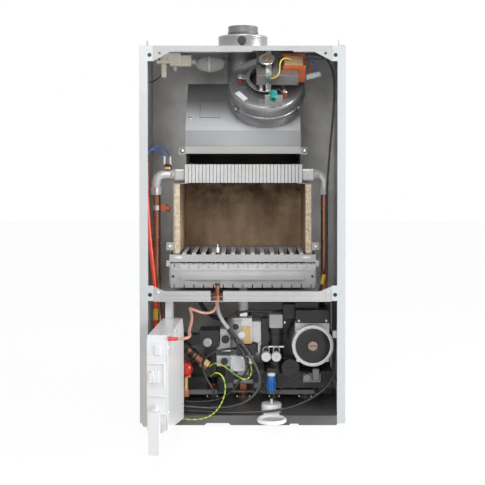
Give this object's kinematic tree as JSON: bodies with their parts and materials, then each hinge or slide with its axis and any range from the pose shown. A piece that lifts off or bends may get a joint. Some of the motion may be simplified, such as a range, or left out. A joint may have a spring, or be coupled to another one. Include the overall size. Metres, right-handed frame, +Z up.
{
  "type": "combi boiler",
  "caption": "Wall-hung fan-flued combi boiler with its front cover off and the control box swung out, showing fan, heat exchanger, burner, gas valve and pump.",
  "frame": {"origin": "on the wall plane, midway across the casing, level with its bottom edge", "axes": "+Z up, the open front faces -Y, the wall is Y = 0"},
  "size_m": [0.4, 0.5068, 0.819],
  "materials": {
    "white_enamel": "satin",
    "grey_enamel": "satin",
    "dark_enamel": "satin",
    "galvanised": "satin",
    "red_vessel": "satin",
    "cast_alloy": "cast",
    "tinned": "satin",
    "copper": "satin",
    "brass": "satin",
    "black_plastic": "matt",
    "white_plastic": "satin",
    "cream_plastic": "matt",
    "beige_plastic": "satin",
    "red_plastic": "satin",
    "blue_plastic": "satin",
    "grey_plastic": "matt",
    "board": "matt",
    "winding": "satin",
    "laminated_steel": "cut",
    "black_cable": "satin",
    "earth_cable": "satin",
    "copper_cable": "satin"
  },
  "bodies": {
    "boiler": {"side_panel_right": "white_enamel", "side_panel_left": "white_enamel", "back_plate": "galvanised", "top_panel": "grey_enamel", "cross_rail": "grey_enamel", "chamber_liner": "grey_enamel", "expansion_vessel": "red_vessel", "bottom_tray": "dark_enamel", "pipe_brackets": "grey_enamel", "connection_tails": "copper", "flue_collar": "cast_alloy", "flue_spigot": "galvanised", "flue_hood": "galvanised", "fan_housing": "galvanised", "fan_motor_core": "laminated_steel", "fan_motor_coil": "winding", "fan_motor_frame": "galvanised", "air_pressure_switch": "cream_plastic", "heat_exchanger_core": "tinned", "heat_exchanger_pipework": "tinned", "flow_pipe": "copper", "return_pipe": "copper", "heat_sensors": "brass", "combustion_chamber": "galvanised", "insulation_boards": "board", "burner_blades": "tinned", "burner_rail": "galvanised", "burner_manifold": "cast_alloy", "ignition_electrodes": "copper", "gas_pipe": "galvanised", "gas_valve_body": "cast_alloy", "gas_valve_coil": "black_plastic", "pump_motor": "cast_alloy", "pump_covers": "black_plastic", "pump_volute": "black_plastic", "return_block": "black_plastic", "return_fittings": "white_plastic", "flow_block": "black_plastic", "hot_water_pipe": "copper", "plate_heat_exchanger": "tinned", "safety_valve": "brass", "gauge_parts": "white_plastic", "cable_clips": "white_plastic", "hinge_brackets": "grey_enamel", "ignition_lead": "copper_cable", "lower_cables": "black_cable", "earth_wires": "earth_cable", "upper_leads": "black_cable"},
    "control_box": {"control_box_shell": "white_plastic", "control_box_cover": "white_plastic", "control_fascia": "beige_plastic"},
    "button_1": {"button_1": "grey_plastic"},
    "button_2": {"button_2": "grey_plastic"},
    "button_3": {"button_3": "grey_plastic"},
    "fan_rotor": {"fan_impeller": "galvanised"},
    "pump_rotor": {"pump_rotor": "laminated_steel"},
    "vent_plug": {"pump_vent_plug": "brass"},
    "safety_valve_knob": {"safety_valve_knob": "red_plastic"},
    "filling_tap": {"filling_tap": "blue_plastic"},
    "drain_tap": {"drain_tap": "grey_plastic"}
  },
  "joints": [
    {"name": "control_box_hinge", "type": "hinge", "parent": "boiler", "child": "control_box", "pos_m": [-0.146, -0.254, 0.1], "axis": [0, 0, 1], "range_deg": [0, 93.7], "deforming": ["ignition_lead"]},
    {"name": "fan_spin", "type": "hinge", "parent": "boiler", "child": "fan_rotor", "pos_m": [0.0474, -0.18371, 0.63304], "axis": [0, -0.7466, 0.6653], "continuous": true},
    {"name": "pump_spin", "type": "hinge", "parent": "boiler", "child": "pump_rotor", "pos_m": [0.142, -0.179, 0.136], "axis": [0, 1, 0], "continuous": true},
    {"name": "vent_plug_turn", "type": "hinge", "parent": "boiler", "child": "vent_plug", "pos_m": [0.142, -0.223, 0.136], "axis": [0, 1, 0], "continuous": true},
    {"name": "safety_valve_turn", "type": "hinge", "parent": "boiler", "child": "safety_valve_knob", "pos_m": [-0.12, -0.189, 0.0815], "axis": [0, 1, 0], "range_deg": [0, 90]},
    {"name": "filling_tap_turn", "type": "hinge", "parent": "boiler", "child": "filling_tap", "pos_m": [0.0584, -0.205, 0.055], "axis": [0, 0, 1], "continuous": true},
    {"name": "drain_tap_turn", "type": "hinge", "parent": "boiler", "child": "drain_tap", "pos_m": [0.132, -0.199, 0.066], "axis": [0, 1, 0], "range_deg": [0, 90]},
    {"name": "button_1_press", "type": "slide", "parent": "control_box", "child": "button_1", "axis": [0.9979, -0.0645, 0], "range_m": [0, 0.0012], "stiffness_N_per_m": 400},
    {"name": "button_2_press", "type": "slide", "parent": "control_box", "child": "button_2", "axis": [0.9979, -0.0645, 0], "range_m": [0, 0.0012], "stiffness_N_per_m": 400},
    {"name": "button_3_press", "type": "slide", "parent": "control_box", "child": "button_3", "axis": [0.9979, -0.0645, 0], "range_m": [0, 0.0012], "stiffness_N_per_m": 400}
  ]
}
